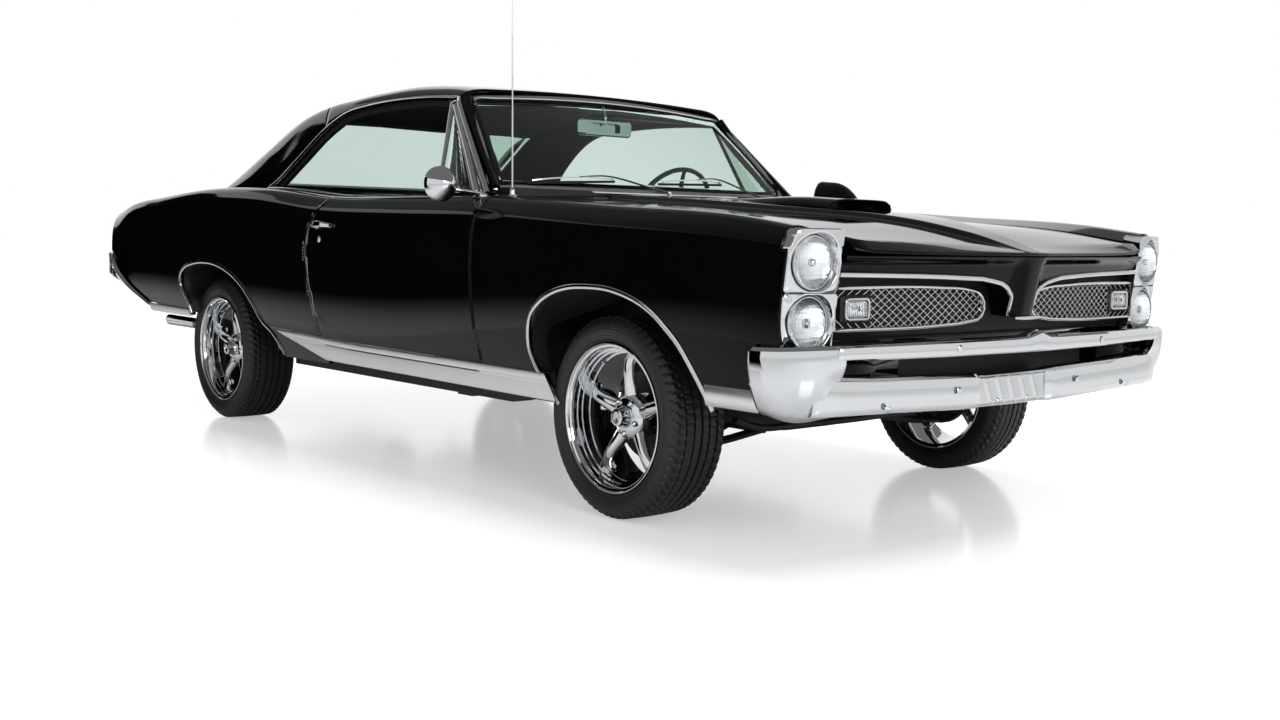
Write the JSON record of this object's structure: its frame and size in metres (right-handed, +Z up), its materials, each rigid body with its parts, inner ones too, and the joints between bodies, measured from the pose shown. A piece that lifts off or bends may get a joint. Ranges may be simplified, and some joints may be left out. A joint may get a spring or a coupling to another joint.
{
  "type": "two-door muscle car",
  "caption": "Late 1960s two-door hardtop muscle car with long hood, stacked headlamps, split grilles, coke-bottle quarters and five-spoke wheels.",
  "frame": {"origin": "on the ground, midway between the bumpers' ends, on the car's centre plane", "axes": "+X to the front, +Y to the car's left, +Z up"},
  "size_m": [5.248, 2.086, 1.781],
  "materials": {
    "paint": "deep gloss black body paint",
    "frame_black": "satin black chassis paint",
    "grille_black": "satin black with a bright rim",
    "chrome": "polished chrome plate",
    "bright_trim": "polished stainless trim",
    "lamp_glass": "clear ribbed lens",
    "red_lens": "ribbed red lens",
    "tinted_glass": "lightly tinted glass",
    "engine_iron": "painted casting",
    "chassis_steel": "satin black steel",
    "exhaust_steel": "plain steel",
    "cabin_black": "grained black",
    "seat_vinyl": "black pleated vinyl",
    "tyre": "matt black rubber",
    "wheel_chrome": "polished and chromed"
  },
  "bodies": {
    "body": {"frame_rails": "frame_black", "floor_pan": "frame_black", "cowl_and_firewall": "paint", "wheel_houses": "frame_black", "front_fender_left": "paint", "front_fender_right": "paint", "quarter_left": "paint", "quarter_right": "paint", "roof": "paint", "tail_panel": "paint", "nose_panel": "paint", "grilles": "grille_black", "headlamp_bezels": "chrome", "front_lamps": "lamp_glass", "front_bumper": "chrome", "rear_bumper": "chrome", "tail_lamps": "red_lens", "windshield": "tinted_glass", "rear_window": "tinted_glass", "rocker_mouldings": "bright_trim", "engine": "engine_iron", "radiator": "frame_black", "dashboard": "cabin_black", "front_seats": "seat_vinyl", "rear_seat": "seat_vinyl", "front_suspension": "chassis_steel", "rear_axle": "chassis_steel", "exhaust": "exhaust_steel", "fuel_tank": "exhaust_steel", "wipers": "bright_trim", "antenna": "bright_trim"},
    "hood": {"hood": "paint", "hood_tachometer": "paint"},
    "trunk_lid": {"trunk_lid": "paint"},
    "door_left": {"door_left": "paint", "vent_window_left": "tinted_glass", "mirror_left": "chrome"},
    "door_right": {"door_right": "paint", "vent_window_right": "tinted_glass", "mirror_right": "chrome"},
    "knuckle_left": {"knuckle_left": "chassis_steel"},
    "knuckle_right": {"knuckle_right": "chassis_steel"},
    "steering_wheel": {"steering_wheel": "cabin_black"},
    "wheel_front_left": {"tyre_front_left": "tyre", "wheel_front_left": "wheel_chrome"},
    "wheel_front_right": {"tyre_front_right": "tyre", "wheel_front_right": "wheel_chrome"},
    "wheel_rear_left": {"tyre_rear_left": "tyre", "wheel_rear_left": "wheel_chrome"},
    "wheel_rear_right": {"tyre_rear_right": "tyre", "wheel_rear_right": "wheel_chrome"}
  },
  "joints": [
    {"name": "hood_hinge", "type": "hinge", "parent": "body", "child": "hood", "pos_m": [0.932, 0, 1.028], "axis": [0, -1, 0], "range_deg": [0, 50]},
    {"name": "trunk_hinge", "type": "hinge", "parent": "body", "child": "trunk_lid", "pos_m": [-1.395, 0, 1.058], "axis": [0, 1, 0], "range_deg": [0, 65]},
    {"name": "door_left_hinge", "type": "hinge", "parent": "body", "child": "door_left", "pos_m": [0.951, 0.937, 0.7], "axis": [0, 0, -1], "range_deg": [0, 65]},
    {"name": "door_right_hinge", "type": "hinge", "parent": "body", "child": "door_right", "pos_m": [0.951, -0.937, 0.7], "axis": [0, 0, 1], "range_deg": [0, 65]},
    {"name": "kingpin_left", "type": "hinge", "parent": "body", "child": "knuckle_left", "pos_m": [1.644, 0.682, 0.3165], "axis": [0, 0, 1], "range_deg": [-33, 33]},
    {"name": "kingpin_right", "type": "hinge", "parent": "body", "child": "knuckle_right", "pos_m": [1.644, -0.682, 0.3165], "axis": [0, 0, 1], "range_deg": [-33, 33]},
    {"name": "steering_turn", "type": "hinge", "parent": "body", "child": "steering_wheel", "pos_m": [0.469, 0.37, 0.955], "axis": [-0.9055, 0, 0.4243], "range_deg": [-530, 530]},
    {"name": "front_left_spin", "type": "hinge", "parent": "knuckle_left", "child": "wheel_front_left", "pos_m": [1.644, 0.774, 0.3165], "axis": [0, 1, 0], "continuous": true},
    {"name": "front_right_spin", "type": "hinge", "parent": "knuckle_right", "child": "wheel_front_right", "pos_m": [1.644, -0.774, 0.3165], "axis": [0, 1, 0], "continuous": true},
    {"name": "rear_left_spin", "type": "hinge", "parent": "body", "child": "wheel_rear_left", "pos_m": [-1.277, 0.755, 0.3165], "axis": [0, 1, 0], "continuous": true},
    {"name": "rear_right_spin", "type": "hinge", "parent": "body", "child": "wheel_rear_right", "pos_m": [-1.277, -0.755, 0.3165], "axis": [0, 1, 0], "continuous": true}
  ],
  "couplings": [
    {"joint": "kingpin_right", "follows": "kingpin_left", "ratio": 1},
    {"joint": "steering_turn", "follows": "kingpin_left", "ratio": 16}
  ]
}
